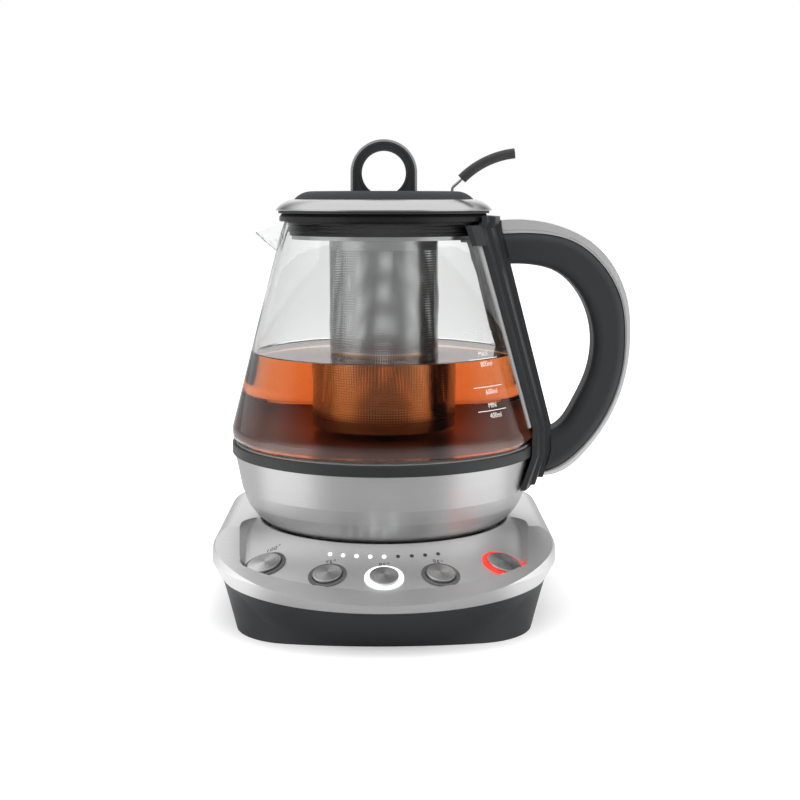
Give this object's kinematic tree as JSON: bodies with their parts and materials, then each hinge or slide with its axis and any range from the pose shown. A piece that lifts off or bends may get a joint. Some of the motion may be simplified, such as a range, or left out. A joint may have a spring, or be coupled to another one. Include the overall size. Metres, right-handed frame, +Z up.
{
  "type": "automatic tea maker",
  "caption": "Glass tea maker: a lift-off glass jug with steel bowl, tube infuser, ring-knob lid and D handle, standing on a keyed power base.",
  "frame": {"origin": "on the table under the jug's upright axis, in the plane of the base's lower rim", "axes": "+Z up, -Y towards the keys, +X towards the handle"},
  "size_m": [0.2168, 0.1976, 0.2414],
  "materials": {
    "cap_steel": "fine brushed",
    "dark_plastic": "satin charcoal",
    "under_plastic": "plain moulded",
    "plug_plastic": "plain moulded",
    "screw_steel": "plain",
    "foot_rubber": "matte",
    "contact_metal": "plain",
    "board_green": "solder mask",
    "board_part": "plain",
    "light_white": "lit white",
    "light_red": "lit red",
    "light_off": "unlit grey",
    "key_steel": "spun",
    "bowl_steel": "brushed round the bowl",
    "collar_grey": "satin",
    "clear_silicone": "soft",
    "plate_steel": "brushed",
    "element_metal": "plain",
    "jug_glass": "clear",
    "strap_dark": "satin charcoal",
    "grip_dark": "matte charcoal",
    "trim_grey": "satin light grey",
    "band_steel": "brushed along",
    "tube_steel": "perforated sheet",
    "seal_rubber": "matte",
    "rim_steel": "satin polish",
    "lid_dark": "satin charcoal",
    "wire_steel": "plain",
    "lever_rubber": "ribbed"
  },
  "bodies": {
    "base": {"control_panel": "cap_steel", "base_housing": "dark_plastic", "bottom_cover": "under_plastic", "bottom_screws": "screw_steel", "rubber_feet": "foot_rubber", "well_tray": "dark_plastic", "connector_plug": "plug_plastic", "connector_springs": "contact_metal", "power_board": "board_green", "board_pegs": "under_plastic", "board_parts": "board_part", "switch_carrier": "under_plastic", "cord_gland": "foot_rubber", "light_ring_white": "light_white", "light_ring_red": "light_red", "light_rings_off": "light_off", "indicators_on": "light_white", "indicators_off": "light_off", "key_switches": "board_part"},
    "key_100": {"key_100_cap": "key_steel", "key_100_stem": "under_plastic"},
    "key_75": {"key_75_cap": "key_steel", "key_75_stem": "under_plastic"},
    "key_85": {"key_85_cap": "key_steel", "key_85_stem": "under_plastic"},
    "key_95": {"key_95_cap": "key_steel", "key_95_stem": "under_plastic"},
    "key_start": {"key_start_cap": "key_steel", "key_start_stem": "under_plastic"},
    "jug": {"steel_bowl": "bowl_steel", "bowl_foot": "dark_plastic", "jug_connector": "plug_plastic", "jug_contacts": "contact_metal", "collar_ring": "collar_grey", "plate_gasket": "clear_silicone", "heater_plate": "plate_steel", "heating_element": "element_metal", "temperature_probe": "plate_steel", "glass_jug": "jug_glass", "strap_pad": "clear_silicone", "handle_saddle": "strap_dark", "handle_frame": "strap_dark", "handle_grip": "grip_dark", "handle_trim": "trim_grey", "handle_band": "band_steel", "handle_screws": "screw_steel"},
    "infuser": {"infuser_tube": "tube_steel", "infuser_floor": "tube_steel", "infuser_flange": "tube_steel", "infuser_seal": "seal_rubber"},
    "lid": {"lid_base": "dark_plastic", "lid_seal": "seal_rubber", "lid_rim": "rim_steel", "lid_disc": "lid_dark", "knob_core": "lid_dark", "knob_band": "band_steel", "knob_screws": "screw_steel", "lever_pin": "screw_steel"},
    "lever": {"lever_wire": "wire_steel", "lever_grip": "lever_rubber"}
  },
  "joints": [
    {"name": "key_100_press", "type": "slide", "parent": "base", "child": "key_100", "axis": [0.2298, 0.2421, -0.9426], "range_m": [0, 0.001], "stiffness_N_per_m": 500, "springref_m": -0.002},
    {"name": "key_75_press", "type": "slide", "parent": "base", "child": "key_75", "axis": [0.1059, 0.3166, -0.9426], "range_m": [0, 0.001], "stiffness_N_per_m": 500, "springref_m": -0.002},
    {"name": "key_85_press", "type": "slide", "parent": "base", "child": "key_85", "axis": [0, 0.3338, -0.9426], "range_m": [0, 0.001], "stiffness_N_per_m": 500, "springref_m": -0.002},
    {"name": "key_95_press", "type": "slide", "parent": "base", "child": "key_95", "axis": [-0.1059, 0.3166, -0.9426], "range_m": [0, 0.001], "stiffness_N_per_m": 500, "springref_m": -0.002},
    {"name": "key_start_press", "type": "slide", "parent": "base", "child": "key_start", "axis": [-0.2298, 0.2421, -0.9426], "range_m": [0, 0.001], "stiffness_N_per_m": 500, "springref_m": -0.002},
    {"name": "jug_lift", "type": "slide", "parent": "base", "child": "jug", "axis": [0, 0, 1], "range_m": [0, 0.06]},
    {"name": "infuser_lift", "type": "slide", "parent": "jug", "child": "infuser", "axis": [0, 0, 1], "range_m": [0, 0.115]},
    {"name": "lid_lift", "type": "slide", "parent": "infuser", "child": "lid", "axis": [0, 0, 1], "range_m": [0, 0.03]},
    {"name": "lever_press", "type": "hinge", "parent": "lid", "child": "lever", "pos_m": [0.036, 0, 0.2112], "axis": [0, 1, 0], "range_deg": [0, 20], "stiffness_Nm_per_rad": 0.02, "springref_deg": -11.46}
  ]
}
